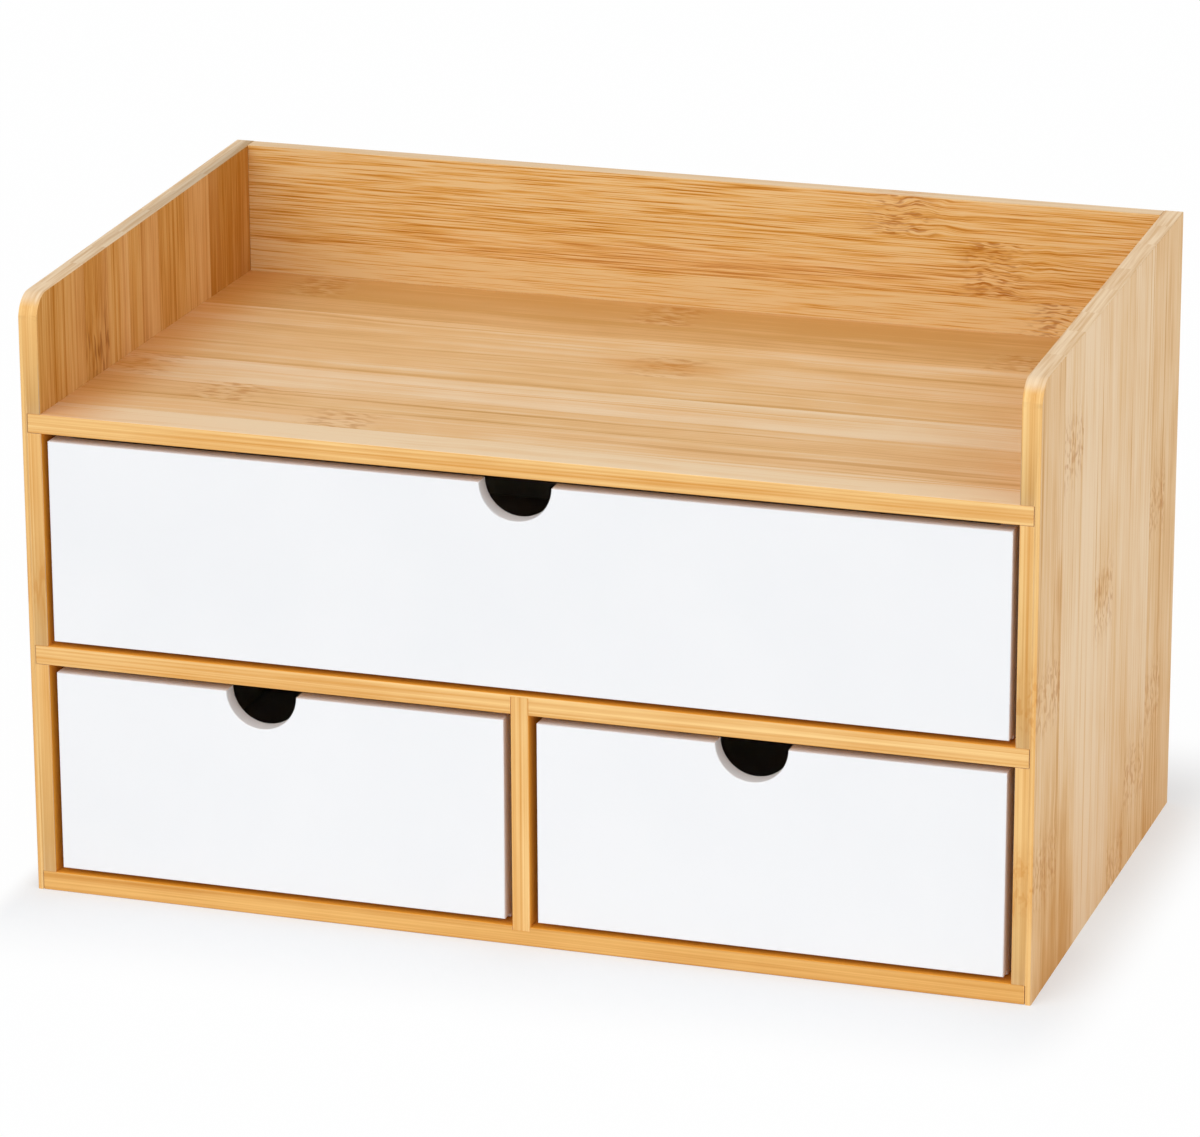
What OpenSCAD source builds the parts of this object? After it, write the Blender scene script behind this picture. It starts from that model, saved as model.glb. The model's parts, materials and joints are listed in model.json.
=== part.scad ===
// Desktop mini drawers: a bamboo case with an open tray on top, one wide drawer
// and two small ones, all lengths in millimetres.
// Frame: +X to the right, -Y towards the drawer fronts, +Z up. The origin lies on the
// ground below the centre of the case.

/* [Case] */
// Width over the two side panels
case_w = 360; // [280:5:480]
// Depth from the front edges to the rear face
case_d = 205; // [140:5:320]
// Height of the side and back panels above the tray floor, at the back
tray_back_h = 48; // [36:1:90]
// Height of the side panels above the tray floor, at the front
tray_front_h = 41.5; // [30:0.5:80]
// Radius of the round corner at the top front of a side panel
side_corner_r = 9; // [3:0.5:20]
// Clear height of the opening for the large drawer
upper_opening_h = 77; // [50:1:140]
// Clear height of the openings for the two small drawers
lower_opening_h = 77; // [50:1:140]

/* [Boards] */
// Thickness of a side panel
side_t = 7; // [6.5:0.5:14]
// Thickness of the top shelf and the middle shelf
shelf_t = 7; // [6.5:0.5:14]
// Thickness of the bottom board
base_t = 7; // [6.5:0.5:14]
// Thickness of the back panel
back_t = 7; // [6:0.5:14]
// Thickness of the divider between the small drawers
divider_t = 6.5; // [5:0.5:12]
// Width of the bevel that takes the sharpness off a front edge
edge_ease = 0.3; // [0.2:0.1:1]

/* [Joints of the case] */
// Depth of the grooves in the side panels that hold the boards
side_groove_d = 5; // [2:0.5:5.5]
// Gap between the end of a board and the bottom of its groove
groove_end_gap = 0.3; // [0.1:0.1:0.8]
// Wood left in the middle shelf above the groove for the divider
divider_web_t = 0.6; // [0.4:0.1:4]
// Depth of the groove in the bottom board for the divider
divider_foot_d = 1.6; // [1:0.1:4]
// Diameter of the dowels that hold the back panel
case_dowel_d = 4; // [2:0.5:4.5]
// Depth of a dowel hole in the face of a panel
case_dowel_face_d = 4.5; // [3:0.5:5]
// Depth of a dowel hole in the end of a board
case_dowel_end_d = 12; // [8:1:20]
// Dowels along the back edge of each board
dowels_per_board = 4; // [2:2:6]
// Dowels in each end of the back panel
dowels_per_end = 3; // [2:1:5]
// Gap all round a glued dowel
dowel_slip = 0.05; // [0.02:0.01:0.1]

/* [Drawers] */
// Distance of the drawer fronts behind the front edges of the case
front_recess = 0.3; // [0:0.1:10]
// Thickness of a drawer front
front_t = 6.5; // [5.5:0.5:12]
// Gap above a drawer front
front_gap_top = 2.5; // [1:0.5:8]
// Gap below a drawer front
front_gap_bottom = 1.9; // [0.5:0.1:3]
// Gap at each side of the large drawer
large_side_gap = 2.2; // [0.5:0.1:5]
// Gap at each side of a small drawer
small_side_gap = 2.7; // [0.5:0.1:5]
// Gap between the runner edges of a drawer and the board below
runner_gap = 0.3; // [0.2:0.1:0.5]
// Gap between a closed drawer and the back panel
drawer_rear_gap = 0.6; // [0.3:0.1:5]
// Thickness of a drawer side
drawer_side_t = 6; // [5:0.5:12]
// Thickness of a drawer back
drawer_back_t = 6; // [4:0.5:12]
// Depth of the rebate in a drawer side that holds the drawer back
back_rebate_d = 3; // [1:0.5:4]
// Thickness of a drawer bottom
drawer_bottom_t = 3; // [2:0.5:6]
// Height of the drawer bottom above the runner edges
drawer_bottom_up = 4; // [3:0.5:12]
// Depth of the groove that holds a drawer bottom
bottom_groove_d = 2.5; // [1:0.5:3]
// Gap above the drawer bottom and at its edges in the groove
bottom_slip = 0.2; // [0.1:0.1:0.4]
// Radius of the half-round finger notch
notch_r = 12.8; // [8:0.1:20]
// Distance of the notch to the left of the middle on a small drawer
small_notch_shift = 6; // [0:0.5:20]
// Distance of the notch to the left of the middle on the large drawer
large_notch_shift = 1; // [0:0.5:20]
// Diameter of the dowels between a drawer front and its sides
front_dowel_d = 3; // [2:0.5:3.5]
// Depth of a dowel hole in a drawer front
front_dowel_face_d = 4; // [3:0.5:4.5]
// Depth of a dowel hole in the end of a drawer side
front_dowel_end_d = 10; // [6:1:20]
// Distance of the dowels from the top and bottom edges of a drawer front
front_dowel_inset = 16; // [10:1:22]

/* [Hidden] */
$fn = 48;

// Colours of the bamboo boards, the white paint and the pins
side_colour = "burlywood";
shelf_colour = "sandybrown";
back_colour = "peru";
paint_colour = "whitesmoke";
pin_colour = "wheat";

// Extra length of a cut past the face that it opens
past = 1;

// Heights of the boards
lower_z = base_t;
middle_z = lower_z + lower_opening_h;
upper_z = middle_z + shelf_t;
top_z = upper_z + upper_opening_h;
tray_z = top_z + shelf_t;
case_h = tray_z + tray_back_h;
side_front_h = tray_z + tray_front_h;

// Planes of the case
front_y = -case_d / 2;
rear_y = case_d / 2;
back_y = rear_y - back_t;
inner_w = case_w - 2 * side_t;
board_len = inner_w + 2 * (side_groove_d - groove_end_gap);
board_d = case_d - back_t;

// Divider, from the groove in the bottom board to the groove in the middle shelf
divider_low_z = lower_z - divider_foot_d;
divider_high_z = upper_z - divider_web_t;

// Case dowels
end_dowel_z = [for (i = [0:dowels_per_end - 1]) case_h * (i + 0.5) / dowels_per_end];
board_dowel_x = [for (i = [0:dowels_per_board - 1]) inner_w * ((i + 0.5) / dowels_per_board - 0.5)];
board_dowel_z = [base_t / 2, middle_z + shelf_t / 2, top_z + shelf_t / 2];

// Drawers, seen from their front face at y = 0 and their runner edges' board at z = 0
large_w = inner_w - 2 * large_side_gap;
bay_w = (inner_w - divider_t) / 2;
small_w = bay_w - 2 * small_side_gap;
small_x = (divider_t + bay_w) / 2;
drawer_d = board_d - front_recess - drawer_rear_gap;
box_d = drawer_d - front_t;
bottom_low_z = runner_gap + drawer_bottom_up;
bottom_slot_h = drawer_bottom_t + bottom_slip;

// Board that runs along X, its front face at y = 0, with both front edges eased
module eased_board(length, depth, thick) {
    profile = [
        [edge_ease, 0], [depth, 0], [depth, thick],
        [edge_ease, thick], [0, thick - edge_ease], [0, edge_ease]
    ];
    translate([-length / 2, 0, 0])
        rotate([90, 0, 90])
            linear_extrude(length) polygon(profile);
}

// Upright board that runs along Y, its front face at y = 0, with both front edges eased
module eased_upright(thick, depth, height) {
    plan = [
        [edge_ease, 0], [thick - edge_ease, 0], [thick, edge_ease],
        [thick, depth], [0, depth], [0, edge_ease]
    ];
    translate([-thick / 2, 0, 0])
        linear_extrude(height) polygon(plan);
}

// Hole or dowel along Y, from y = from to y = to
module rod_y(d, from, to) {
    translate([0, to, 0])
        rotate([90, 0, 0]) cylinder(h = to - from, d = d);
}

// Hole or dowel along X, from x = from to x = to
module rod_x(d, from, to) {
    translate([from, 0, 0])
        rotate([0, 90, 0]) cylinder(h = to - from, d = d);
}

// Outline of a side panel in depth and height, with its top sloping down to the front
module side_outline() {
    slope = atan((case_h - side_front_h) / case_d);
    tangent = side_corner_r * tan((90 - slope) / 2);
    difference() {
        polygon([[0, 0], [case_d, 0], [case_d, case_h], [0, side_front_h]]);
        difference() {
            polygon([
                [-past, side_front_h - tangent], [side_corner_r, side_front_h - tangent],
                [tangent * cos(slope), side_front_h + tangent * sin(slope)],
                [tangent * cos(slope), side_front_h + tangent * sin(slope) + past],
                [-past, side_front_h + tangent * sin(slope) + past]
            ]);
            translate([side_corner_r, side_front_h - tangent]) circle(r = side_corner_r);
        }
    }
}

// Side panel with its inner face at x = 0 and its outer face at x = side_t
module side_panel() {
    color(side_colour)
    translate([0, front_y, 0])
    difference() {
        intersection() {
            rotate([90, 0, 90]) linear_extrude(side_t) side_outline();
            translate([side_t / 2, 0, 0]) eased_upright(side_t, case_d, case_h + past);
        }
        // rebate for the bottom board, open at the foot and the front
        translate([-past, -past, -past])
            cube([side_groove_d + past, board_d + past, base_t + past]);
        // grooves for the shelves, stopped at the back panel
        for (z = [middle_z, top_z])
            translate([-past, -past, z])
                cube([side_groove_d + past, board_d + past, shelf_t]);
        // dowel holes for the back panel
        for (z = end_dowel_z)
            translate([0, board_d + back_t / 2, z])
                rod_x(case_dowel_d + 2 * dowel_slip, -past, case_dowel_face_d);
    }
}

module left_side_panel() {
    translate([-inner_w / 2, 0, 0]) mirror([1, 0, 0]) side_panel();
}

module right_side_panel() {
    translate([inner_w / 2, 0, 0]) side_panel();
}

// Dowel holes in the back edge of a board whose top face is at z = thick
module board_dowel_holes(thick) {
    for (x = board_dowel_x)
        translate([x, 0, thick / 2])
            rod_y(case_dowel_d + 2 * dowel_slip, board_d - case_dowel_end_d, board_d + past);
}

module back_panel() {
    color(back_colour)
    difference() {
        translate([-inner_w / 2, back_y, 0]) cube([inner_w, back_t, case_h]);
        for (x = board_dowel_x, z = board_dowel_z)
            translate([x, back_y, z])
                rod_y(case_dowel_d + 2 * dowel_slip, -past, case_dowel_face_d);
        for (side = [-1, 1], z = end_dowel_z)
            translate([side * inner_w / 2, back_y + back_t / 2, z])
                rod_x(case_dowel_d + 2 * dowel_slip, -case_dowel_end_d, case_dowel_end_d);
    }
}

module top_shelf() {
    color(shelf_colour)
    translate([0, front_y, top_z])
    difference() {
        eased_board(board_len, board_d, shelf_t);
        board_dowel_holes(shelf_t);
    }
}

module middle_shelf() {
    color(shelf_colour)
    translate([0, front_y, middle_z])
    difference() {
        eased_board(board_len, board_d, shelf_t);
        board_dowel_holes(shelf_t);
        // groove for the divider
        translate([-divider_t / 2, -past, -past])
            cube([divider_t, board_d + 2 * past, shelf_t - divider_web_t + past]);
    }
}

module bottom_board() {
    color(shelf_colour)
    translate([0, front_y, 0])
    difference() {
        eased_board(board_len, board_d, base_t);
        board_dowel_holes(base_t);
        // groove for the divider
        translate([-divider_t / 2, -past, base_t - divider_foot_d])
            cube([divider_t, board_d + 2 * past, divider_foot_d + past]);
    }
}

module divider() {
    color(side_colour)
    translate([0, front_y, divider_low_z])
        eased_upright(divider_t, board_d, divider_high_z - divider_low_z);
}

// Dowels that join the back panel to the three boards and to the side panels
module case_dowels() {
    color(pin_colour) {
        for (x = board_dowel_x, z = board_dowel_z)
            translate([x, back_y, z])
                rod_y(case_dowel_d, dowel_slip - case_dowel_end_d, case_dowel_face_d - dowel_slip);
        for (z = end_dowel_z)
            translate([inner_w / 2, back_y + back_t / 2, z])
                rod_x(case_dowel_d, dowel_slip - case_dowel_end_d, case_dowel_face_d - dowel_slip);
        for (z = end_dowel_z)
            translate([-inner_w / 2, back_y + back_t / 2, z])
                rod_x(case_dowel_d, dowel_slip - case_dowel_face_d, case_dowel_end_d - dowel_slip);
    }
}

// Height of a drawer front in an opening
function front_h(opening_h) = opening_h - front_gap_top - front_gap_bottom;

// Heights of the two dowels at each end of a drawer front
function front_dowel_z(opening_h) = [
    front_gap_bottom + front_dowel_inset,
    opening_h - front_gap_top - front_dowel_inset
];

// Plan of a drawer front with its two front corners eased
module front_plan(width) {
    polygon([
        [-width / 2 + edge_ease, 0], [width / 2 - edge_ease, 0], [width / 2, edge_ease],
        [width / 2, front_t], [-width / 2, front_t], [-width / 2, edge_ease]
    ]);
}

// Drawer front with eased edges round its face and a half-round notch in its top edge
module drawer_front(width, opening_h, notch_x) {
    height = front_h(opening_h);
    top = opening_h - front_gap_top;
    color(paint_colour)
    difference() {
        intersection() {
            translate([0, 0, front_gap_bottom]) eased_board(width, front_t, height);
            linear_extrude(opening_h) front_plan(width);
        }
        translate([notch_x, 0, top]) rod_y(2 * notch_r, -past, front_t + past);
        translate([notch_x, edge_ease, top])
            rotate([90, 0, 0]) cylinder(h = edge_ease, r1 = notch_r, r2 = notch_r + edge_ease);
        // groove for the drawer bottom
        translate([-width / 2 + drawer_side_t - bottom_groove_d, front_t - bottom_groove_d, bottom_low_z])
            cube([width - 2 * (drawer_side_t - bottom_groove_d), bottom_groove_d + past, bottom_slot_h]);
        for (side = [-1, 1], z = front_dowel_z(opening_h))
            translate([side * (width - drawer_side_t) / 2, front_t, z])
                rod_y(front_dowel_d + 2 * dowel_slip, -front_dowel_face_d, past);
    }
}

// Drawer side with its inner face at x = 0 and its outer face at x = drawer_side_t
module drawer_side(opening_h) {
    height = opening_h - front_gap_top - runner_gap;
    color(paint_colour)
    difference() {
        translate([0, front_t, runner_gap]) cube([drawer_side_t, box_d, height]);
        // groove for the drawer bottom
        translate([-past, front_t - past, bottom_low_z])
            cube([bottom_groove_d + past, box_d + past - drawer_back_t + bottom_groove_d, bottom_slot_h]);
        // rebate for the drawer back
        translate([-past, drawer_d - drawer_back_t, runner_gap - past])
            cube([back_rebate_d + past, drawer_back_t + past, height + 2 * past]);
        for (z = front_dowel_z(opening_h))
            translate([drawer_side_t / 2, front_t, z])
                rod_y(front_dowel_d + 2 * dowel_slip, -past, front_dowel_end_d);
    }
}

// Drawer back that sits in the rebates of the two sides
module drawer_back(width, opening_h) {
    back_w = width - 2 * (drawer_side_t - back_rebate_d);
    slot_w = width - 2 * (drawer_side_t - bottom_groove_d);
    color(paint_colour)
    difference() {
        translate([-back_w / 2, drawer_d - drawer_back_t, runner_gap])
            cube([back_w, drawer_back_t, opening_h - front_gap_top - runner_gap]);
        translate([-slot_w / 2, drawer_d - drawer_back_t - past, bottom_low_z])
            cube([slot_w, bottom_groove_d + past, bottom_slot_h]);
    }
}

// Drawer bottom that lies in the grooves all round
module drawer_bottom(width) {
    panel_w = width - 2 * (drawer_side_t - bottom_groove_d + bottom_slip);
    panel_from = front_t - bottom_groove_d + bottom_slip;
    panel_to = drawer_d - drawer_back_t + bottom_groove_d - bottom_slip;
    color(paint_colour)
    translate([-panel_w / 2, panel_from, bottom_low_z])
        cube([panel_w, panel_to - panel_from, drawer_bottom_t]);
}

// Four dowels between a drawer front and its sides
module drawer_dowels(width, opening_h) {
    color(pin_colour)
    for (side = [-1, 1], z = front_dowel_z(opening_h))
        translate([side * (width - drawer_side_t) / 2, front_t, z])
            rod_y(front_dowel_d, dowel_slip - front_dowel_face_d, front_dowel_end_d - dowel_slip);
}

// Places of the three drawers in the case
module at_large() {
    translate([0, front_y + front_recess, upper_z]) children();
}

module at_left() {
    translate([-small_x, front_y + front_recess, lower_z]) children();
}

module at_right() {
    translate([small_x, front_y + front_recess, lower_z]) children();
}

// Places of the two sides of a drawer
module at_left_end(width) {
    translate([-width / 2 + drawer_side_t, 0, 0]) mirror([1, 0, 0]) children();
}

module at_right_end(width) {
    translate([width / 2 - drawer_side_t, 0, 0]) children();
}

module large_drawer_front() { at_large() drawer_front(large_w, upper_opening_h, -large_notch_shift); }
module large_drawer_left_side() { at_large() at_left_end(large_w) drawer_side(upper_opening_h); }
module large_drawer_right_side() { at_large() at_right_end(large_w) drawer_side(upper_opening_h); }
module large_drawer_back() { at_large() drawer_back(large_w, upper_opening_h); }
module large_drawer_bottom() { at_large() drawer_bottom(large_w); }
module large_drawer_dowels() { at_large() drawer_dowels(large_w, upper_opening_h); }

module left_drawer_front() { at_left() drawer_front(small_w, lower_opening_h, -small_notch_shift); }
module left_drawer_left_side() { at_left() at_left_end(small_w) drawer_side(lower_opening_h); }
module left_drawer_right_side() { at_left() at_right_end(small_w) drawer_side(lower_opening_h); }
module left_drawer_back() { at_left() drawer_back(small_w, lower_opening_h); }
module left_drawer_bottom() { at_left() drawer_bottom(small_w); }
module left_drawer_dowels() { at_left() drawer_dowels(small_w, lower_opening_h); }

module right_drawer_front() { at_right() drawer_front(small_w, lower_opening_h, -small_notch_shift); }
module right_drawer_left_side() { at_right() at_left_end(small_w) drawer_side(lower_opening_h); }
module right_drawer_right_side() { at_right() at_right_end(small_w) drawer_side(lower_opening_h); }
module right_drawer_back() { at_right() drawer_back(small_w, lower_opening_h); }
module right_drawer_bottom() { at_right() drawer_bottom(small_w); }
module right_drawer_dowels() { at_right() drawer_dowels(small_w, lower_opening_h); }

left_side_panel();
right_side_panel();
back_panel();
top_shelf();
middle_shelf();
bottom_board();
divider();
case_dowels();
large_drawer_front();
large_drawer_left_side();
large_drawer_right_side();
large_drawer_back();
large_drawer_bottom();
large_drawer_dowels();
left_drawer_front();
left_drawer_left_side();
left_drawer_right_side();
left_drawer_back();
left_drawer_bottom();
left_drawer_dowels();
right_drawer_front();
right_drawer_left_side();
right_drawer_right_side();
right_drawer_back();
right_drawer_bottom();
right_drawer_dowels();
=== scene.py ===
# %% [markdown]
# # Mini drawers for a desk, in bamboo and white
#
# The real thing is a small desk organiser. Sawn bamboo boards make a case with an open tray on
# top, and three drawers with plain white fronts slide into it. The boards, grooves, dowels and
# drawers come from the CAD model at their real size, so this lesson leaves every place and size
# alone. It gives the boards their soft arrises, their strips of bamboo, the node marks, the fine
# fibres and the satin lacquer, and gives the drawers their sprayed paint.

import json
import math
import random

import bmesh
import bpy
from mathutils import Matrix, Vector
from mathutils.geometry import intersect_point_line

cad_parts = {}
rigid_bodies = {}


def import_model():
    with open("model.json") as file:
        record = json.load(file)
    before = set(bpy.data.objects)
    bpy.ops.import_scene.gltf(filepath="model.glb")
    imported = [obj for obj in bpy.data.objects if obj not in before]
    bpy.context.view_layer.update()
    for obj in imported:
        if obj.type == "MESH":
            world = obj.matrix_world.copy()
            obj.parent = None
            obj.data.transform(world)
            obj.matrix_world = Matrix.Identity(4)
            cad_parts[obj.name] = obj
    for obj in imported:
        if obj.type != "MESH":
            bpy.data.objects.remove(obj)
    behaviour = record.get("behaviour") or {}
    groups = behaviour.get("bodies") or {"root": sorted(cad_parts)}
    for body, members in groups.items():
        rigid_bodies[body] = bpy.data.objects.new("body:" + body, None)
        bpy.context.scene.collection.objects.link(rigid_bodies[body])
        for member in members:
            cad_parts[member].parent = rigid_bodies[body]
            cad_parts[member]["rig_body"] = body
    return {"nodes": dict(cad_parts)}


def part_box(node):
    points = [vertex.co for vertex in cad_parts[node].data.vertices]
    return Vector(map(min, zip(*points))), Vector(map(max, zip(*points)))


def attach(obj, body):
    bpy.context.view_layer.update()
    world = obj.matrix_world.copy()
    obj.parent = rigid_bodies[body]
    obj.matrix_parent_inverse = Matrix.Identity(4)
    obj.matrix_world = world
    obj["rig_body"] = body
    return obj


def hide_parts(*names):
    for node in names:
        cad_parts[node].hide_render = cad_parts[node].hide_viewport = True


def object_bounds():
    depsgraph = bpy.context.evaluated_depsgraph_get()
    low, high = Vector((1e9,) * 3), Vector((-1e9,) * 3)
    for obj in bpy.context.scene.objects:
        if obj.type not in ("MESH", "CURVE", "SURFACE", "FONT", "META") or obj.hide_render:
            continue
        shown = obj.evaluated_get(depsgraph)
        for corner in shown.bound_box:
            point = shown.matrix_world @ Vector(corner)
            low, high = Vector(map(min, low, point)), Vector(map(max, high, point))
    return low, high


MM = 1000  # millimetres in a metre

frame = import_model()
cad_low, cad_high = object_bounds()
print("CAD box in millimetres:", [round(MM * side, 1) for side in cad_high - cad_low])

# %% [markdown]
# ## The camera
#
# The photograph was taken from the right, a little above the object, with a long lens from about
# two metres away. A long lens keeps the boards almost parallel. The eye point, the turn and the
# lens below were found by matching the corners of the case, whose sizes are known, to the places
# where they lie in the picture. Three plain angles make the turn: how far round, how far up, and
# a trace of roll.

# %% The camera
PHOTO_W = 1200  # width of the photograph in pixels
FOCAL_PX = 5832.2  # focal length in the same pixels
SENSOR_MM = 36.0
EYE = Vector((0.6082, -1.8658, 0.7460))  # in metres
AZIMUTH, ELEVATION, ROLL = 18.183, 18.105, -0.243  # in degrees

camera = bpy.data.objects.new("camera", bpy.data.cameras.new("camera"))
camera.data.sensor_fit = "HORIZONTAL"
camera.data.sensor_width = SENSOR_MM
camera.data.lens = SENSOR_MM * FOCAL_PX / PHOTO_W
camera.matrix_world = (
    Matrix.Translation(EYE)
    @ Matrix.Rotation(math.radians(AZIMUTH), 4, "Z")
    @ Matrix.Rotation(math.radians(90 - ELEVATION), 4, "X")
    @ Matrix.Rotation(math.radians(ROLL), 4, "Z")
)
bpy.context.scene.collection.objects.link(camera)
bpy.context.scene.camera = camera
bpy.context.scene.view_settings.view_transform = "Standard"
print("lens in millimetres:", round(camera.data.lens, 1))

# %% [markdown]
# ## Sums on sockets
#
# A procedural finish is a long sum: noise here, a threshold there, one colour mixed into another.
# Wiring each Math node by hand hides that sum. A small class wraps an output socket instead, so
# that an expression such as `1 - gloss * streak` adds its own nodes. Every other kind of node
# comes from one method, which takes the node's type, its settings and its sockets.

# %% Sums on sockets
class Sock:
    """An output socket in a node tree. Sums on it add Math nodes to the tree."""

    def __init__(self, tree, link):
        self.tree = tree
        self.link = link

    def node(self, kind, settings, sockets, out=0):
        """Adds a node: its settings first, then the values or links of its sockets."""
        made = self.tree.nodes.new(kind)
        for name, value in settings.items():
            if name == "stops":
                set_stops(made.color_ramp, value)
            elif name == "interpolation":
                made.color_ramp.interpolation = value
            else:
                setattr(made, name, value)
        for key, value in sockets.items():
            if isinstance(value, Sock):
                self.tree.links.new(value.link, made.inputs[key])
            else:
                made.inputs[key].default_value = value
        return Sock(self.tree, made.outputs[out])

    def feed(self, node, socket):
        """Links this value to a socket of another node, such as a shader."""
        self.tree.links.new(self.link, node.inputs[socket])

    def maths(self, operation, *values):
        return self.node("ShaderNodeMath", {"operation": operation}, dict(enumerate(values)))

    def __add__(self, other):
        return self.maths("ADD", self, other)

    def __sub__(self, other):
        return self.maths("SUBTRACT", self, other)

    def __rsub__(self, other):
        return self.maths("SUBTRACT", other, self)

    def __mul__(self, other):
        return self.maths("MULTIPLY", self, other)

    def __truediv__(self, other):
        return self.maths("DIVIDE", self, other)

    def __abs__(self):
        return self.maths("ABSOLUTE", self)

    __radd__ = __add__
    __rmul__ = __mul__

    def larger(self, other):
        """The larger of two values."""
        return self.maths("MAXIMUM", self, other)

    def root(self):
        """The square root."""
        return self.maths("SQRT", self)

    def between(self, low, high):
        """0 below low, 1 above high, and a smooth rise between them."""
        return self.node(
            "ShaderNodeMapRange",
            {"interpolation_type": "SMOOTHSTEP"},
            {"Value": self, "From Min": low, "From Max": high},
        )

    def tint(self, low, high):
        """A colour that goes from low to high as this share goes from 0 to 1."""
        return self.node(
            "ShaderNodeMix", {"data_type": "RGBA"}, {0: self, 6: low, 7: high}, out=2
        )


def set_stops(ramp, stops):
    """Writes a ramp's stops, given as (position, colour) pairs."""
    while len(ramp.elements) < len(stops):
        ramp.elements.new(1.0)
    for element, (position, colour) in zip(ramp.elements, stops):
        element.position = position
        element.color = colour


# %% Colours, and a new material
def rgb(red, green, blue):
    """A colour as a painter reads it, 0 to 255, in the linear values that shaders use."""
    def linear(level):
        share = level / 255
        return share / 12.92 if share <= 0.04045 else ((share + 0.055) / 1.055) ** 2.4

    return (linear(red), linear(green), linear(blue), 1.0)


def new_finish(name):
    """A new material: its shader, and the place on the piece as three sums in millimetres."""
    material = bpy.data.materials.new(name)
    material.use_nodes = True
    tree = material.node_tree
    shader = tree.nodes["Principled BSDF"]
    place = Sock(tree, None).node("ShaderNodeTexCoord", {}, {}, out="Object")
    axes = [place.node("ShaderNodeSeparateXYZ", {}, {0: place}, out=axis) * MM for axis in "XYZ"]
    return material, shader, axes


def bump(height, strength, depth_mm, shader):
    """Gives a shader a fine relief: the height goes from 0 to 1 over the depth."""
    sockets = {"Strength": strength, "Distance": depth_mm / MM, "Height": height}
    height.node("ShaderNodeBump", {}, sockets).feed(shader, "Normal")


print("white paint in linear values:", [round(part, 3) for part in rgb(240, 241, 243)])

# %% [markdown]
# ## The lay-up of a board
#
# A bamboo board is glued up from strips about 25 mm wide. Each strip comes from another stalk,
# so its tone differs from its neighbours', and a hair-thin joint line parts them. Where the stalk
# had a node, the strip shows a short patch of curly flecks across its whole width.
#
# One colour ramp with hard steps keeps what each strip is: its tone in red, the places of up to
# two node marks in green and blue, and a number that sets its fibres apart in alpha.

# %% What a board looks like unless its own values say otherwise
LOOKS = {
    "band": 1.0,  # strength of the bands, which are the broadest streaks
    "line": 1.0,  # strength of the lines
    "fibre": 1.0,  # strength of the fibres, which are the finest streaks
    "dash": 1.0,  # strength of the short dark dashes
    "thread": 1.0,  # strength of the long dark threads
    "cloud": 1.0,  # strength of the soft clouds
    "knot": 1.0,  # strength of the node marks
    "short": 1.0,  # how many times shorter the lines, fibres and dashes are
    "fine": 1.0,  # how many times finer the fibres and dashes are
    "sway": 7,  # how far the fibres wander across the strip, in millimetres
    "curl": (0.25, 0.50),  # turns per millimetre of the flecks in a mark, along and across
    "blush": 0.2,  # share of a pinker tone in some stretches
    # Below: the paler veil is painted light, and of the darker and the amber ovals some are the
    # wood's own and some painted shade.
    "veil": 0.0,  # share of a paler tone on the face that looks out of the case
    "stains_and_shade": [],  # darker ovals: place along and across, half sizes, strength
    "amber_and_shade": [],  # ovals of a deeper amber, written the same way
}

# %% A board and its strips
# A mark's place is a share of the board and this much beyond each end. So 0, which stands for no
# mark, lies too far off the board to show.
SPARE_MM = 30
OWN_START, OWN_STEP = 0.11, 0.37  # the numbers that set the strips' fibres apart


class Board:
    """How one bamboo board is laid up: its axes, its strips and its colours.

    The grain runs along one axis and the strips lie side by side along the other. The joints are
    where the strips start, the tones go from 0 for pale to 1 for dark, and a mark is a strip's
    number with a place along the grain. The face, edge and end are palettes.
    """

    def __init__(self, node, grain, lay, joints, tones, marks, face, edge, end, **looks):
        self.low, self.high = (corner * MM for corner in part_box(node))
        self.grain, self.lay = "XYZ".index(grain), "XYZ".index(lay)
        self.depth = 3 - self.grain - self.lay
        self.joints, self.tones, self.marks = joints, tones, marks
        self.face, self.edge, self.end = face, edge, end
        self.looks = {**LOOKS, **looks}

    def share_along(self, millimetres):
        """Where a place along the grain lies, as a share of the board's length."""
        start = self.low[self.grain] - SPARE_MM
        return (millimetres - start) / (self.high[self.grain] + SPARE_MM - start)

    def strip_stops(self):
        """One hard step for each strip: tone, first mark, second mark, and its own number."""
        start, end = self.low[self.lay], self.high[self.lay]
        stops = []
        for number, (joint, tone) in enumerate(zip(self.joints, self.tones)):
            marks = [self.share_along(mark) for strip, mark in self.marks if strip == number]
            first, second = (marks + [0, 0])[:2]
            own = (number * OWN_STEP + OWN_START) % 1
            stops.append((max(0, (joint - start) / (end - start)), (tone, first, second, own)))
        return stops


print("values that a board can change:", len(LOOKS))

# %% [markdown]
# ## A solid pattern
#
# A flat picture of bamboo would stretch round the corners of a board. A solid pattern doesn't:
# it fills the block, so a face shows long fibres, an edge shows the same fibres from the side,
# and an end shows them as dots. The pattern therefore reads the place on the piece in three
# parts: along the grain, across the strips, and through the thickness. Noise that turns slowly
# along the grain and quickly across it comes out as streaks. Near a node the fibres swing aside,
# so the place across the strip is bent there before the finer noise reads it.

# %% Layers of noise
# Turns per millimetre along the grain and across it. A third number is for the thickness, which
# otherwise turns as fast as across.
RAGGED = (0.06, 0.45)  # the ragged outline of a node mark
WANDER = (0.011, 0.04)  # the slow sway of all fibres
SWING = (0.07, 0.16)  # the quick swing of the fibres round a node
BANDS = (0.005, 0.15)
LINES = (0.009, 0.42)
FIBRES = (0.018, 1.0)
DASHES = (0.03, 0.85)
THREADS = (0.004, 0.45)
CLOUDS = (0.03, 0.06)
BLUSHES = (0.004, 0.05)
LAYERS = (0.003, 0.02, 0.5)  # thick layers on a long edge
ROWS = (0.006, 0.05, 1.5)  # thin layers on a long edge
RINGS = (0.02, 0.03, 0.9)  # cut fibres on a sawn end


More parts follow.
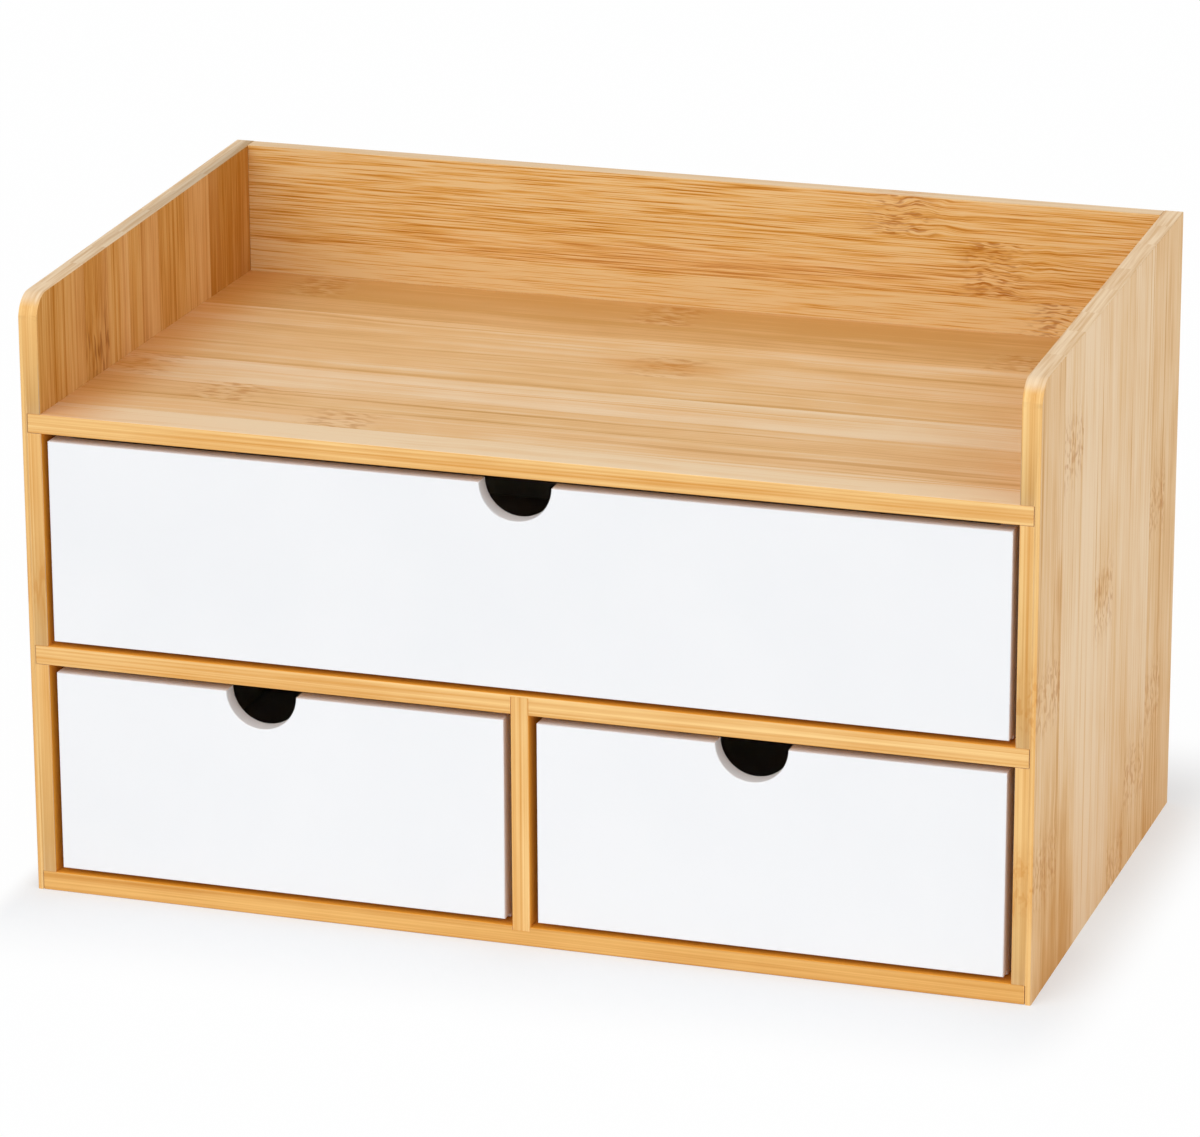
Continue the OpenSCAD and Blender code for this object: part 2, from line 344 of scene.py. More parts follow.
def squeezed(layer, short, fine=1.0):
    """A layer with its streaks some times shorter along the grain and finer across it."""
    return (layer[0] * short, layer[1] * fine)


print("one turn of the fibres along the grain, in millimetres:", round(1 / FIBRES[0]))

# %% Where a point lies in the bamboo
JOINT_MM = 0.14  # half the width of a joint line
JOINT_STEP = 0.01  # two strips' own numbers differ by more than this
RAGGED_MM = 16  # how much the ends of a mark stray along the grain
MARK_MM = (3, 17)  # from its node a mark is whole up to here, and gone from there
HALO_MM = (2, 30)  # the same for the soft halo of bent fibres round it
HALO_SHIFT = 8  # how far past the node the halo lies
SWING_MM = 6  # how far the fibres swing aside in the halo
OWN_TURNS = 40  # how far apart in the noise the strips lie
OVAL_FADE = (0.1, 1.1)  # an oval fades between these shares of its size
OVAL_RAGGED = 0.03  # share by which its outline strays where a mark's strays by a millimetre


class Fibres:
    """Where a shaded point lies in a board: its strip, its fibre, and how near a node mark."""

    def __init__(self, board, axes):
        self.board = board
        self.along, self.across, self.through = (
            axes[axis] for axis in (board.grain, board.lay, board.depth)
        )
        self.own = self.strip_at(0, "Alpha")
        says = self.strip_at(0, "Color")
        self.tone, *marks = (
            says.node("ShaderNodeSeparateColor", {}, {0: says}, out=part) for part in range(3)
        )
        beside = abs(self.strip_at(JOINT_MM, "Alpha") - self.strip_at(-JOINT_MM, "Alpha"))
        self.joint = beside.between(0, JOINT_STEP)
        self.bent = self.across
        self.ragged = self.streaks(RAGGED, detail=3.0) * RAGGED_MM - RAGGED_MM / 2
        self.near = self.patches(marks, 0, MARK_MM)
        self.halo = self.patches(marks, HALO_SHIFT, HALO_MM)
        wander = self.swings(WANDER) * board.looks["sway"]
        self.bent = self.across + wander + self.swings(SWING) * self.halo * SWING_MM

    def strip_at(self, shift, out):
        """What the ramp says of the strip at this point, or a little beside it."""
        start, end = self.board.low[self.board.lay], self.board.high[self.board.lay]
        share = (self.across + (shift - start)) / (end - start)
        ramp = {"interpolation": "CONSTANT", "stops": self.board.strip_stops()}
        return share.node("ShaderNodeValToRGB", ramp, {0: share}, out=out)

    def patches(self, marks, shift, reach):
        """1 within a ragged patch at either of two node marks, and 0 far from both."""
        low = self.board.low[self.board.grain] - SPARE_MM
        high = self.board.high[self.board.grain] + SPARE_MM
        both = []
        for mark in marks:
            centre = mark * (high - low) + (low + shift)
            far = abs(self.along - centre) + self.ragged
            both.append(1 - far.between(*reach))
        return both[0].larger(both[1])

    def streaks(self, layer, detail=2.0, distortion=0.0):
        """Noise in this strip, from 0 to 1: the layer gives its turns per millimetre."""
        point = self.along.node(
            "ShaderNodeCombineXYZ", {},
            {0: self.along * layer[0], 1: self.bent * layer[1], 2: self.through * layer[-1]},
        )
        return point.node(
            "ShaderNodeTexNoise", {"noise_dimensions": "4D"},
            {
                "Vector": point, "W": self.own * OWN_TURNS, "Scale": 1.0,
                "Detail": detail, "Distortion": distortion,
            },
        )

    def swings(self, layer):
        """The same noise with its middle at 0, for what goes both ways."""
        return self.streaks(layer) - 0.5

    def soft_oval(self, at_along, at_across, half_length, half_width):
        """1 in the middle of a soft oval patch and 0 outside it."""
        far = (self.along - at_along) / half_length
        wide = (self.across - at_across) / half_width
        reach = (far * far + wide * wide).root() + self.ragged * OVAL_RAGGED
        return 1 - reach.between(*OVAL_FADE)


print("a mark fades over", MARK_MM[1] - MARK_MM[0], "mm along the grain")

# %% [markdown]
# ## The bamboo's colours
#
# Lacquered bamboo runs from cream to toffee, and the boards of one case differ. Each palette of a
# broad face goes from its palest fibre over the middle to the darkest, with the flecks of the
# node marks last. The toffee palette is darker than the left panel's wood: it is painted shade and
# amber bounce light for the panel's inner face. A long edge and a sawn end go from pale to dark,
# and the deep edge of the bottom board is darker with painted shade from the floor. Four more
# colours are laid over parts of a board: a pinker blush in some stretches, a deeper amber in
# corners and round some marks, which round the marks is the wood's own and at the tray's left wall
# is painted shade and bounce light, a strong amber of painted bounce light inside the drawer
# openings, and a pale veil of painted light on the outside of the case, which gets light from all
# round.

# %% The bamboo's colours
TAN = [rgb(244, 215, 177), rgb(233, 193, 141), rgb(208, 153, 84), rgb(186, 120, 60)]
HONEY = [rgb(240, 212, 174), rgb(230, 185, 129), rgb(206, 156, 91), rgb(176, 106, 22)]
# Darker than the wood alone: painted shade and amber bounce light for the left panel's inner face.
SHADED_TOFFEE = [rgb(224, 178, 112), rgb(208, 151, 79), rgb(180, 116, 36), rgb(134, 72, 10)]
AMBER = [rgb(232, 196, 140), rgb(221, 167, 89), rgb(186, 119, 28), rgb(162, 88, 4)]
DEEP = [rgb(218, 164, 90), rgb(200, 138, 60), rgb(174, 110, 34), rgb(134, 80, 26)]

GOLD_EDGE = [rgb(246, 206, 140), rgb(216, 152, 72)]
# Partly darker with painted shade from the floor below.
SHADED_DEEP_EDGE = [rgb(234, 184, 110), rgb(202, 138, 60)]
PALE_EDGE = [rgb(242, 215, 179), rgb(220, 181, 134)]

BLUSH = rgb(240, 194, 150)
# A deeper amber: the wood's own round marks, and painted shade and bounce light at the tray's left
# wall.
DEEP_AMBER_AND_SHADE = rgb(212, 134, 40)
# Painted bounce light inside the drawer openings.
INSIDE = rgb(238, 156, 38)
# Painted light: a paler tone on the outside of the case.
VEIL = rgb(242, 210, 166)
print("palest honey in linear values:", [round(part, 3) for part in HONEY[0]])

# %% [markdown]
# ## Streaks on a broad face
#
# The eye reads bamboo by streaks at several scales at once. Each layer below adds its share to
# one number, the tone, and a ramp turns the tone into a colour only at the end. The strengths
# hold for a plain board, and a board's own looks scale them.

# %% Streaks, from broad to fine
STRENGTHS = {"band": 1.1, "line": 1.4, "fibre": 1.5, "dash": 0.30, "thread": 0.40, "cloud": 0.6}
HALO_STRENGTH, JOINT_STRENGTH = 0.08, 0.3  # how much a mark's halo and a joint line darken
DASH_FADE = (0.50, 0.68)  # the noise makes a dash from the first level on, whole at the second
THREAD_FADE = (0.60, 0.70)


def streak_layers(wood, looks):
    """The layers of streaks by name. Dashes and threads only darken, and the rest go both ways."""
    short, fine = looks["short"], looks["fine"]
    return {
        "band": wood.swings(BANDS),
        "line": wood.swings(squeezed(LINES, short)),
        "fibre": wood.swings(squeezed(FIBRES, short, fine)),
        "dash": wood.streaks(squeezed(DASHES, short, fine), detail=1.5).between(*DASH_FADE),
        "thread": wood.streaks(THREADS, detail=1.0).between(*THREAD_FADE),
        "cloud": wood.swings(CLOUDS),
    }


def face_tone(wood, layers, looks):
    """The tone of a broad face, from 0 at its palest to 1 at its darkest."""
    tone = wood.tone
    for name, layer in layers.items():
        tone = tone + layer * (STRENGTHS[name] * looks[name])
    tone = tone + wood.halo * (HALO_STRENGTH * looks["knot"]) + wood.joint * JOINT_STRENGTH
    # Darker ovals: the wood's own, and painted shade near the tray's left wall.
    for *oval, strength in looks["stains_and_shade"]:
        tone = tone + wood.soft_oval(*oval) * strength
    return tone


# %% [markdown]
# ## Node marks
#
# A node mark isn't a dark spot but a crowd of short wavy dashes, some darker and some paler than
# the strip. Both come from one noise with a little distortion: its high ends are the flecks and
# its low ends are the glints, and neither shows away from the node.

# %% Flecks and glints
FLECK_FADE = (0.49, 0.62)
GLINT_FADE = (0.38, 0.49)


def mark_dashes(wood, looks):
    """The darker flecks and the paler glints of the node marks."""
    curls = wood.streaks(looks["curl"], detail=1.0, distortion=0.3)
    flecks = curls.between(*FLECK_FADE) * wood.near
    glints = (1 - curls.between(*GLINT_FADE)) * wood.near
    return flecks, glints


# %% [markdown]
# ## Light that has touched wood
#
# A drawer opening is a narrow amber cave: light that gets in has met lacquered bamboo several
# times, so the walls beside the drawers look a deep orange, most of all at the front. Rendering
# so many bounces is slow and noisy, so a tint does it, by place. It fills the space between the
# side panels, below the tray and before the back panel, and takes in the faces that bound it. It
# starts half a millimetre above the ground, so the underside of the case keeps its own colour.

# %% The tint inside the drawer openings
front = cad_low.y * MM
INNER_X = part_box("right_side_panel")[0].x * MM
UNDER_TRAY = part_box("top_shelf")[0].z * MM
BACK_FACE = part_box("back_panel")[0].y * MM

# Where each fade starts and ends, in millimetres past its plane
SIDE_FADE = (0.1, 0.3)
GROUND_FADE = (0.4, 0.6)
TRAY_FADE = (0.2, 0.4)
BACK_FADE = (0.5, 2.5)
DEPTH_FADE = (6.5, 18.5)
AMBER_SHARE, AMBER_LOSS = 0.8, 0.4  # the share at the front, and what of it is lost deeper in


def past(place, plane, fade):
    """0 up to a plane and 1 beyond it. The fade lies that far past the plane."""
    return place.between(plane + fade[0], plane + fade[1])


def inside_case(axes):
    """How amber a face is that looks into a drawer opening: most at the front, none outside."""
    x, y, z = axes
    between_sides = 1 - past(abs(x), INNER_X, SIDE_FADE)
    below_tray = past(z, 0, GROUND_FADE) * (1 - past(z, UNDER_TRAY, TRAY_FADE))
    before_back = 1 - past(y, BACK_FACE, BACK_FADE)
    share = AMBER_SHARE - past(y, front, DEPTH_FADE) * AMBER_LOSS
    return between_sides * below_tray * before_back * share


print("amber between the side panels up to", round(INNER_X, 1), "mm from the middle")

# %% [markdown]
# ## Faces, edges and ends
#
# A strip shows its broad side on a face, its layers on a long edge and its cut fibres on a sawn
# end, and each has its own colours. Which of the three a point lies on follows from the normal
# of the surface on Object coordinates, so the colours turn the corner with the wood.

# %% The colour of a broad face
BLUSH_FADE = (0.45, 0.7)
FLECK_SHARE, GLINT_SHARE = 0.50, 0.25
VEIL_FADE = (-1, 1)  # the veil sets in over this depth round the middle of the board


def face_colour(board, wood, layers, dashes, axes):
    """The colour of a board's broad face."""
    looks = board.looks
    pale, middle, dark, fleck = board.face
    flecks, glints = dashes
    tone = face_tone(wood, layers, looks)
    ramp = {"stops": [(0.0, pale), (0.5, middle), (1.0, dark)]}
    face = tone.node("ShaderNodeValToRGB", ramp, {0: tone})
    face = (wood.streaks(BLUSHES).between(*BLUSH_FADE) * looks["blush"]).tint(face, BLUSH)
    face = (flecks * (FLECK_SHARE * looks["knot"])).tint(face, fleck)
    face = (glints * (GLINT_SHARE * looks["knot"])).tint(face, pale)
    # Amber ovals: the wood's own round a mark, and painted shade and bounce light at the tray's
    # left wall.
    for *oval, strength in looks["amber_and_shade"]:
        face = (wood.soft_oval(*oval) * strength).tint(face, DEEP_AMBER_AND_SHADE)
    # Painted bounce light inside the drawer openings.
    face = inside_case(axes).tint(face, INSIDE)
    # Painted light: the outer face is paler.
    middle_depth = abs(board.low[board.depth] + board.high[board.depth]) / 2
    outer = past(abs(wood.through), middle_depth, VEIL_FADE)
    return (outer * looks["veil"]).tint(face, VEIL)


# %% The colours of long edges and sawn ends
EDGE_MIDDLE, EDGE_LAYERS, EDGE_FIBRES = 0.42, 1.7, 0.5
EDGE_FLECK_SHARE, EDGE_NEAR_SHARE = 0.30, 0.12
RING_FADE = (0.32, 0.72)


def edge_colour(board, wood, layers, flecks):
    """The colour of a long edge, which shows the layers of bamboo from the side."""
    tone = wood.swings(LAYERS) * EDGE_LAYERS + wood.swings(ROWS) * EDGE_LAYERS
    tone = tone + layers["fibre"] * EDGE_FIBRES + layers["cloud"] * EDGE_FIBRES + EDGE_MIDDLE
    edge = tone.tint(*board.edge)
    return (flecks * EDGE_FLECK_SHARE + wood.near * EDGE_NEAR_SHARE).tint(edge, DEEP_AMBER_AND_SHADE)


def end_colour(board, wood):
    """The colour of a sawn end, which shows the fibres as dots."""
    return wood.streaks(RINGS, detail=3.0).between(*RING_FADE).tint(*board.end)


# %% Which way the surface faces
FACING_FADE = (0.5, 0.9)


def new_facing(any_sock):
    """How squarely the surface faces along X, Y and Z, as three shares."""
    normal = any_sock.node("ShaderNodeTexCoord", {}, {}, out="Normal")
    return [
        abs(normal.node("ShaderNodeSeparateXYZ", {}, {0: normal}, out=axis)).between(*FACING_FADE)
        for axis in "XYZ"
    ]


# %% [markdown]
# ## The lacquer
#
# The boards have one thin coat of satin lacquer. It is a little rougher over the dark fibres and
# the node marks, the joint lines and the dashes lie a trace lower, and the fibres can be felt.
# The relief is a bump of about a tenth of a millimetre, too low to show in the outline, so it
# needs no mesh. Gloss and relief use the same streaks as the colour, so the three agree.

# %% The bamboo finish
LACQUER_ROUGH, FIBRE_ROUGH, MARK_ROUGH = 0.56, 0.15, 0.04
LACQUER_IOR, LACQUER_SPECULAR = 1.48, 0.15
FIBRE_RISE, DASH_FALL, JOINT_FALL = 0.5, 0.25, 0.8
RELIEF_STRENGTH, RELIEF_MM = 0.22, 0.12


def bamboo(name, board):
    """The finish of one board: strips, joints, fibres, node marks and satin lacquer."""
    material, shader, axes = new_finish(name)
    wood = Fibres(board, axes)
    layers = streak_layers(wood, board.looks)
    dashes = mark_dashes(wood, board.looks)

    facing = new_facing(wood.along)
    edge = edge_colour(board, wood, layers, dashes[0])
    colour = facing[board.grain].tint(edge, end_colour(board, wood))
    face = face_colour(board, wood, layers, dashes, axes)
    facing[board.depth].tint(colour, face).feed(shader, "Base Color")

    rough = LACQUER_ROUGH + layers["fibre"] * FIBRE_ROUGH + wood.near * MARK_ROUGH
    rough.feed(shader, "Roughness")
    relief = layers["fibre"] * FIBRE_RISE - layers["dash"] * DASH_FALL - wood.joint * JOINT_FALL
    bump(relief, RELIEF_STRENGTH, RELIEF_MM, shader)
    shader.inputs["IOR"].default_value = LACQUER_IOR
    shader.inputs["Specular IOR Level"].default_value = LACQUER_SPECULAR
    return material


# %% [markdown]
# ## How each board is laid up
#
# The four boards that show well are laid up strip by strip, as they are on the real one.
# The joints and the ovals, which are darker or amber wood and in places painted shade, are places
# in millimetres, and a node mark is a strip's number and a place along the grain. The front edges
# of the other three show too, but their faces only with a drawer open or from below, so a seeded
# draw lays those up.

# %% Lay up the boards that show
WHOLE = 2000  # half size of an oval that takes in the whole width of a board

BOARDS = {
    "right_side_panel": Board(
        "right_side_panel", "Z", "Y",
        [front + joint for joint in (0, 32, 58, 80, 107, 132, 162, 185)],
        [0.40, 0.20, 0.0, 0.16, 0.26, 0.18, 0.44, 0.46],
        [(0, 105), (0, 43), (1, 182), (3, 113), (4, 5), (5, 32), (6, 124), (6, 52)],
        TAN, GOLD_EDGE, PALE_EDGE, fibre=0.7, line=0.5, band=0.5, cloud=1.2, dash=0.3,
        blush=0.1, sway=3, knot=0.9, curl=(0.30, 0.60),
        stains_and_shade=[
            (-10, front + 34, 110, 38, 0.60), (-10, front + 150, 80, 70, 0.30),
            (20, front + 45, 60, 12, 0.25),
            (137, front + 28, 16, 6, 0.35), (118, front + 92, 9, 14, 0.35),
        ],
        amber_and_shade=[(-20, front + 60, 120, WHOLE, 0.12)],
    ),
    # Its toffee palette is painted shade and amber bounce light on the inner face, and the veil is
    # painted light that makes the outer face paler again.
    "left_side_panel": Board(
        "left_side_panel", "Z", "Y",
        [front + joint for joint in (0, 17, 41, 62, 81, 109, 134, 158)],
        [0.50, 0.50, 0.66, 0.36, 0.36, 0.50, 0.42, 0.88],
        [(2, 184), (0, 113), (4, 66), (6, 120), (3, 30), (7, 48)],
        SHADED_TOFFEE, GOLD_EDGE, PALE_EDGE, fibre=1.0, line=0.5, band=0.2, dash=0.6, knot=1.2, veil=0.45,
        curl=(0.08, 0.60), sway=3,
    ),
    "top_shelf": Board(
        "top_shelf", "X", "Y",
        [front, -87, -67, -46.5, -20.5, 4.2, 28.5, 49, 68, 93],
        [0.02, 0.44, 0.46, 0.16, 0.48, 0.44, 0.44, 0.86, 0.96, 1.0],
        [(2, -122), (1, -72), (3, -163), (5, 15), (7, 133), (8, -4), (8, -140)],
        HONEY, GOLD_EDGE, PALE_EDGE, fibre=0.4, line=0.4, band=0.8, dash=0.3, short=0.7, knot=0.85,
        curl=(0.16, 0.60),
        # The two ovals at the left wall are painted shade; the others darken a mark and three long
        # streaks.
        stains_and_shade=[
            (14, 17, 30, 11, 0.30), (-170, -34, 22, 14, 0.35), (-172, -60, 26, 22, 0.2),
            (-150, -66, 60, 3, 0.3), (-60, -19, 130, 3, 0.35), (100, 29, 60, 3, 0.3),
        ],
        # The amber band at the left wall is painted shade and bounce light; the small oval is the
        # wood's own round a mark.
        amber_and_shade=[(-175, 0, 31, WHOLE, 0.5), (14, 17, 34, 10, 0.35), (175, -30, 70, 120, 0.16)],
    ),
    # Its veil is painted light on the outer face.
    "back_panel": Board(
        "back_panel", "X", "Z",
        [0, 24, 49, 74, 99, 124, 149, 172, 187, 208],
        [0.4, 0.6, 0.45, 0.55, 0.4, 0.6, 0.5, 0.02, 0.34, 0.26],
        [(9, 78), (8, 113), (7, 138), (6, -60), (5, 40), (4, -130), (3, 90), (2, -20), (1, 150)],
        AMBER, PALE_EDGE, PALE_EDGE, fibre=2.5, line=0.0, band=0.15, dash=0.4, knot=1.15, short=1.9,
        fine=2.4, thread=0.0, cloud=0.4, curl=(0.20, 1.3), sway=0.5, veil=0.3,
        stains_and_shade=[(0, 190, 200, 6, 0.2)],
    ),
}
print("strips by hand:", {name: len(board.joints) for name, board in BOARDS.items()})

# %% Draw the lay-up of the other boards
STRIP_MM = (22, 28)  # least and greatest width of a strip
TONES = (0.2, 0.6)  # palest and darkest strip


def drawn_board(node, grain, lay, edge, seed):
    """A board laid up by a seeded draw of its strips, the front one without a mark."""
    draw = random.Random(seed)
    low, high = (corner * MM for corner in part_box(node))
    lay_axis, grain_axis = "XYZ".index(lay), "XYZ".index(grain)
    joints = [low[lay_axis]]
    while joints[-1] < high[lay_axis] - STRIP_MM[1]:
        joints.append(joints[-1] + draw.uniform(*STRIP_MM))
    tones = [draw.uniform(*TONES) for _ in joints]
    marks = [
        (strip, draw.uniform(low[grain_axis], high[grain_axis])) for strip in range(1, len(joints))
    ]
    return Board(node, grain, lay, joints, tones, marks, DEEP, edge, PALE_EDGE)


BOARDS["middle_shelf"] = drawn_board("middle_shelf", "X", "Y", GOLD_EDGE, 3)
# Its deep edge holds painted shade from the floor below.
BOARDS["bottom_board"] = drawn_board("bottom_board", "X", "Y", SHADED_DEEP_EDGE, 5)
BOARDS["divider"] = drawn_board("divider", "Z", "Y", GOLD_EDGE, 8)
print("strips in all:", sum(len(board.joints) for board in BOARDS.values()))

# %% [markdown]
# ## Soft arrises
#
# A sawn board is sanded, so its long corners are slightly round and catch a thin line of light.
# The CAD solids have a plain chamfer at the front and sharp corners elsewhere. The shape could be
# built again from boxes, but the grooves and dowel holes would be lost. A copy of the CAD mesh
# keeps them: its loose triangles are merged and flat faces are joined up. Every long corner with
# room beside it is rounded by 0.28 mm, and what is still sharp after that by 0.14 mm.
#
# Three kinds of corner stay sharp. The rims of the dowel holes have sides that are too short. A
# corner close to another would run into it. And where the ends of two boards meet, rounding
# would open a dark crack, so on the bamboo boards a corner as long as a board is thick is left.

# %% Which corners have room to be rounded
ARRISES = [0.00028, 0.00014]  # widths of the roundings in metres
ROOM = 2  # a rounding has room where this many times its width is free
LONG_SIDE = 0.001  # a corner is rounded from this length on
JOINT_SIDE = (0.0062, 0.0074)  # a board's thickness, which is how long a corner is at a joint
SHARP = math.radians(32)  # a corner turns by more than this


def distance(point, edge):
    """How far a point lies from an edge."""
    start, end = (vert.co for vert in edge.verts)
    foot, share = intersect_point_line(point, start, end)
    if share < 0:
        foot = start
    elif share > 1:
        foot = end
    return (point - foot).length


def has_room(edge, arris):
    """Whether the faces beside an edge are wide enough for its rounding and their other ones."""
    for face in edge.link_faces:
        for other in face.edges:
            if set(other.verts) & set(edge.verts):
                continue
            gaps = [distance(vert.co, other) for vert in edge.verts]
            gaps += [distance(vert.co, edge) for vert in other.verts]
            if min(gaps) < ROOM * arris:
                return False
    return True


def corners_to_round(shape, node):
    """The sharp edges that are long enough to round, without those at a joint of two boards."""
    sharp = [edge for edge in shape.edges if edge.calc_face_angle() > SHARP]
    long = [edge for edge in sharp if edge.calc_length() > LONG_SIDE]
    if node in BOARDS:
        low, high = JOINT_SIDE
        long = [edge for edge in long if not low < edge.calc_length() < high]
    return long


# %% Copies of the CAD solids with soft arrises
MERGE = 1e-6  # points closer than this are one
FLAT = math.radians(1)  # faces that turn by less than this are one
CREASE = math.radians(50)  # the shading breaks where faces turn by more than this


def eased_mesh(node, name):
    """A merged copy of a CAD node's mesh with its long corners rounded."""
    shape = bmesh.new()
    shape.from_mesh(frame["nodes"][node].data)
    bmesh.ops.remove_doubles(shape, verts=shape.verts, dist=MERGE)
    bmesh.ops.dissolve_limit(shape, angle_limit=FLAT, verts=shape.verts, edges=shape.edges)
    for arris in ARRISES:
        corners = [edge for edge in corners_to_round(shape, node) if has_room(edge, arris)]
        bmesh.ops.bevel(
            shape, geom=corners, affect="EDGES", offset=arris, offset_type="OFFSET",
            segments=2, profile=0.5, material=-1, clamp_overlap=True,
        )
    for face in shape.faces:
        face.smooth = True
        face.material_index = 0
    mesh = bpy.data.meshes.new(name)
    shape.to_mesh(mesh)
    shape.free()
    mesh.set_sharp_from_angle(angle=CREASE)
    return mesh


def eased_copy(node, name, finish):
    """A piece with soft arrises that stands for a CAD node."""
    mesh = eased_mesh(node, name)
    mesh.materials.append(finish)
    piece = bpy.data.objects.new(name, mesh)
    bpy.context.scene.collection.objects.link(piece)
    weighted = piece.modifiers.new("even faces", "WEIGHTED_NORMAL")
    weighted.keep_sharp = True
    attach(piece, frame["nodes"][node]["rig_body"])
    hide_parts(node)
    return piece


for node, board in BOARDS.items():
    piece = eased_copy(node, node + "_wood", bamboo(node + "_bamboo", board))
    print(piece.name, len(piece.data.polygons), "faces")

# %% [markdown]
# ## Sprayed paint
#
# The drawers are fibreboard with a satin white paint. Sprayed paint isn't dead flat: it has a
# very fine orange peel, and its gloss varies a little. A near-white colour with a trace of blue,
# a faint noise in the roughness and a low bump give that, and nothing more is needed.

# %% The paint
PAINT_TONES = [rgb(234, 236, 239), rgb(240, 241, 243)]
PAINT_ROUGH, PAINT_ROUGH_RANGE = 0.38, 0.12
SHADE_TURNS, GLOSS_TURNS, PEEL_TURNS = 0.02, 0.15, 1.1  # turns per millimetre
PEEL_STRENGTH, PEEL_MM = 0.10, 0.06


def satin_white(name):
    """Satin white sprayed paint with a fine orange peel."""
    material, shader, axes = new_finish(name)
    point = axes[0].node("ShaderNodeCombineXYZ", {}, dict(enumerate(axes)))

    def noise(turns, detail):
        return point.node(
            "ShaderNodeTexNoise", {}, {"Vector": point, "Scale": turns, "Detail": detail}
        )

    noise(SHADE_TURNS, detail=2.0).tint(*PAINT_TONES).feed(shader, "Base Color")
    gloss = noise(GLOSS_TURNS, detail=3.0)
    (PAINT_ROUGH + gloss * PAINT_ROUGH_RANGE).feed(shader, "Roughness")
    bump(noise(PEEL_TURNS, detail=2.0), PEEL_STRENGTH, PEEL_MM, shader)
    return material


PAINT = satin_white("satin_white_paint")
painted = [node for node in frame["nodes"] if node not in BOARDS and "dowels" not in node]
for node in sorted(painted):
    eased_copy(node, node + "_painted", PAINT)
print("painted pieces:", len(painted))

# %% [markdown]
# ## Dowels
#
# The dowels sit inside the joints and never show, but the model comes apart, so they get a plain
# beech-like finish: pale, dry wood with short lengthwise streaks. Their shape is already right,
# so the CAD solids stay and only take the material.

# %% The dowels
DOWEL_TONES = [rgb(226, 196, 150), rgb(196, 158, 108)]
DOWEL_TURNS = 0.9  # turns per millimetre
DOWEL_ROUGH, DOWEL_ROUGH_RANGE = 0.6, 0.1


def dowel_wood(name):
    """Plain dry wood with fine streaks."""
    material, shader, axes = new_finish(name)
    point = axes[0].node("ShaderNodeCombineXYZ", {}, dict(enumerate(axes)))
    sockets = {"Vector": point, "Scale": DOWEL_TURNS, "Detail": 4.0, "Distortion": 0.4}
    grain = point.node("ShaderNodeTexNoise", {}, sockets)
    grain.tint(*DOWEL_TONES).feed(shader, "Base Color")
    (DOWEL_ROUGH + grain * DOWEL_ROUGH_RANGE).feed(shader, "Roughness")
    return material


DOWEL = dowel_wood("dowel_wood")
for node, solid in frame["nodes"].items():
    if "dowels" in node:
        solid.data.materials.clear()
        solid.data.materials.append(DOWEL)
        print(node, "keeps its CAD solids")

# %% [markdown]
# ## The floor
#
# The photograph is a studio picture on pure white. A pale floor that reaches far behind the object
# is its own backdrop. For the camera it turns from a shaded floor close to the case to plain white
# further off, so the soft shadow stays and the rest is the white of the page. The shadow is short
# at the left, longer at the right and longest before and behind the case.

# %% The floor
FLOOR_HALF = 9.0  # half its side in metres
FLOOR_ROUGH = 0.9
FAR_MM = 75  # the floor is at its whitest this far before and behind the case
RIGHT_PULL, LEFT_PULL = 2.4, 6.0  # how many times sooner that comes at the right and the left
NEAR_WHITE, FAR_WHITE = 0.41, 0.98  # share of plain white beside the case and far from it
FLOOR_TONES = [rgb(240, 240, 240), rgb(234, 237, 241)]  # for bounced light, and for the camera

floor_shape = bmesh.new()
bmesh.ops.create_grid(floor_shape, x_segments=1, y_segments=1, size=FLOOR_HALF)
floor_mesh = bpy.data.meshes.new("floor")
floor_shape.to_mesh(floor_mesh)
floor_shape.free()
floor = bpy.data.objects.new("floor", floor_mesh)
bpy.context.scene.collection.objects.link(floor)

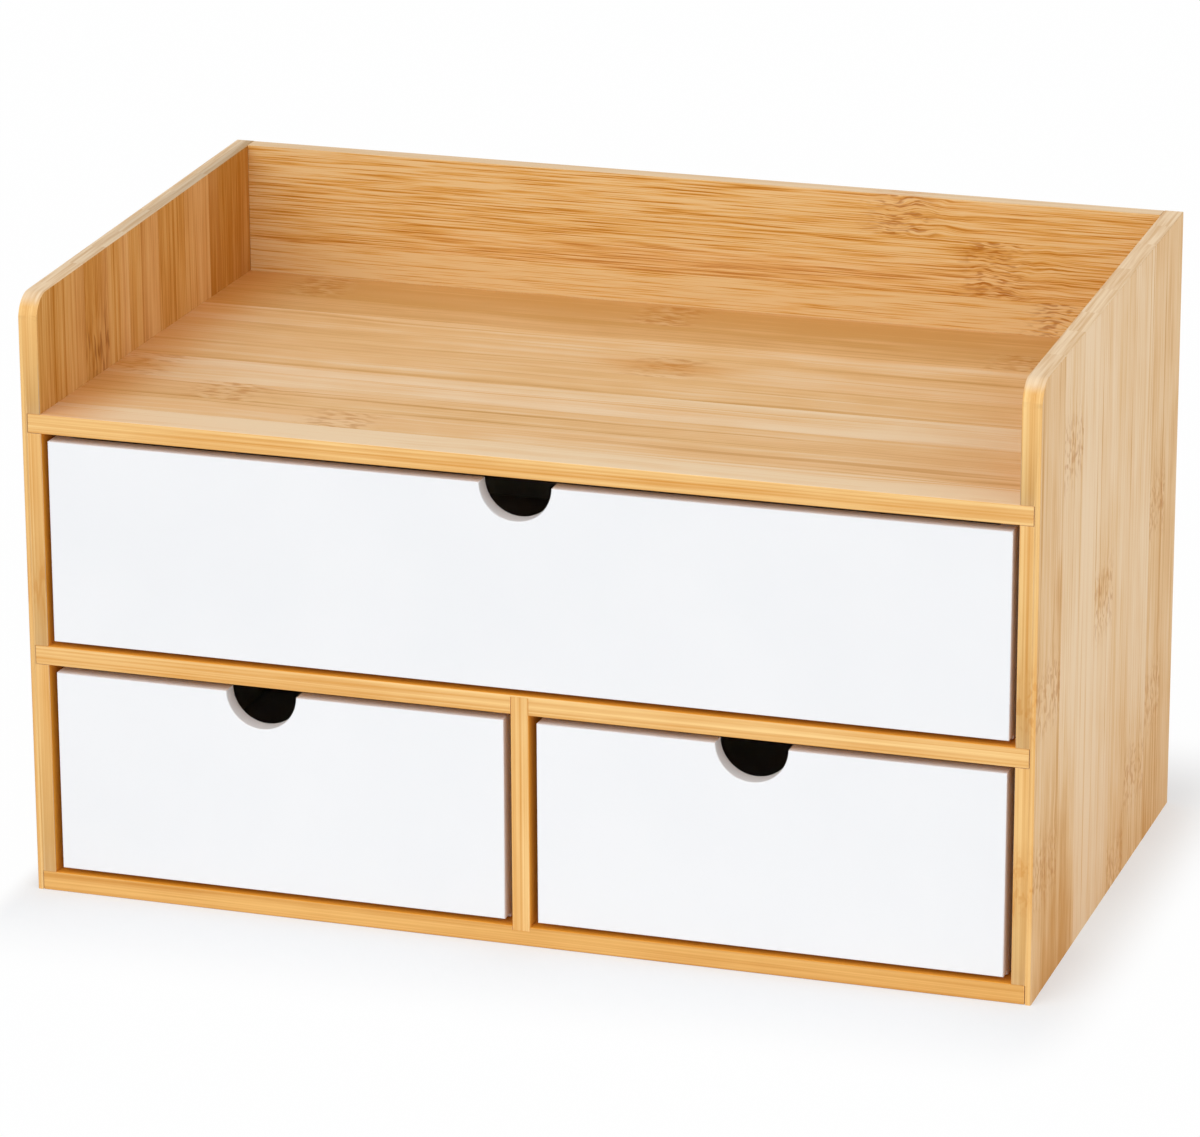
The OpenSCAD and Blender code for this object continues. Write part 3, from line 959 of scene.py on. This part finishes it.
floor_finish, floor_shader, (floor_x, floor_y, _) = new_finish("floor_white")
floor_shader.inputs["Roughness"].default_value = FLOOR_ROUGH
floor_shader.inputs["Specular IOR Level"].default_value = 0.0
right = (floor_x - cad_high.x * MM).larger(0) * RIGHT_PULL
left = (cad_low.x * MM - floor_x).larger(0) * LEFT_PULL
before = (abs(floor_y) - cad_high.y * MM).larger(0)
away = ((left + right) * (left + right) + before * before).root().between(0, FAR_MM)

camera_ray = floor_x.node("ShaderNodeLightPath", {}, {}, out="Is Camera Ray")
camera_ray.tint(*FLOOR_TONES).feed(floor_shader, "Base Color")
white = floor_x.node("ShaderNodeEmission", {}, {"Color": (1, 1, 1, 1), "Strength": 1.0})
whiteness = camera_ray * (away * (FAR_WHITE - NEAR_WHITE) + NEAR_WHITE)
shaded = Sock(floor_x.tree, floor_shader.outputs[0])
floor_look = floor_x.node("ShaderNodeMixShader", {}, {0: whiteness, 1: shaded, 2: white})
floor_look.feed(floor_finish.node_tree.nodes["Material Output"], "Surface")
floor_mesh.materials.append(floor_finish)
print("side of the floor in metres:", 2 * FLOOR_HALF)

# %% [markdown]
# ## The light
#
# Soft light comes from all round, a little more of it from the front left, with a weaker fill from
# the right. The world gives the first part and two broad suns the others. A sun has no falloff, so
# every board is lit alike, as by a large soft box far away. The three levels add up so that a
# colour renders about as it is written.

# %% The world and the lamps
AMBIENT = 0.62  # level of the light from all round; the camera itself sees plain white

world = bpy.data.worlds.new("studio")
bpy.context.scene.world = world
world.use_nodes = True
backdrop = world.node_tree.nodes["Background"]
backdrop.inputs["Color"].default_value = (1, 1, 1, 1)
seen = Sock(world.node_tree, None).node("ShaderNodeLightPath", {}, {}, out="Is Camera Ray")
(seen * (1 - AMBIENT) + AMBIENT).feed(backdrop, "Strength")


def soft_sun(name, towards, level, spread):
    """A broad lamp without falloff, its spread in degrees.

    At level 1 a surface that faces the lamp renders in the colour that is written for it.
    """
    lamp = bpy.data.lights.new(name, "SUN")
    lamp.energy = math.pi * level
    lamp.angle = math.radians(spread)
    sun = bpy.data.objects.new(name, lamp)
    sun.matrix_world = Vector(towards).to_track_quat("Z", "Y").to_matrix().to_4x4()
    bpy.context.scene.collection.objects.link(sun)
    print(name, "at level", level)


soft_sun("key", towards=(-0.40, -0.80, 0.70), level=0.38, spread=60)
soft_sun("fill", towards=(0.85, -0.40, 0.45), level=0.20, spread=60)
